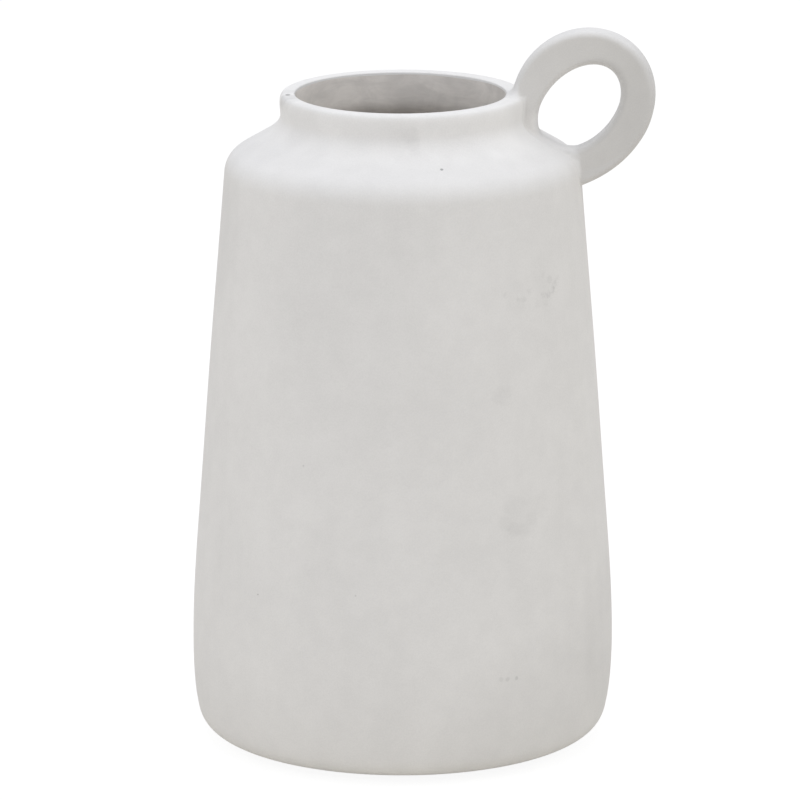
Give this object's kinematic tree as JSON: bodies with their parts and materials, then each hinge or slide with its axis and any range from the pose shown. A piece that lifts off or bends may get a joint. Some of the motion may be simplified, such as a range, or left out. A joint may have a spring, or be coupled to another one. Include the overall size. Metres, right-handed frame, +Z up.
{
  "type": "ceramic jug",
  "caption": "Tall matt ceramic jug with a tapering body, sloping shoulder, short wide neck and a flat oval ring handle on the shoulder for a finger.",
  "frame": {"origin": "middle of the flat foot, on the surface that the jug stands on", "axes": "+Z up along the jug's axis; +X from the axis towards the ring handle, whose slab lies in the XZ plane"},
  "size_m": [0.194, 0.1776, 0.3034],
  "materials": {
    "body_clay": "matt, chalky, bare fired clay",
    "handle_clay": "matt, chalky, bare fired clay",
    "joint_slip": "matt, sponged smooth",
    "lining_glaze": "thin satin lining, uneven"
  },
  "bodies": {
    "root": {"jug_body": "body_clay", "ring_handle": "handle_clay", "upper_slip_joint": "joint_slip", "lower_slip_joint": "joint_slip", "inner_glaze": "lining_glaze"}
  },
  "joints": []
}
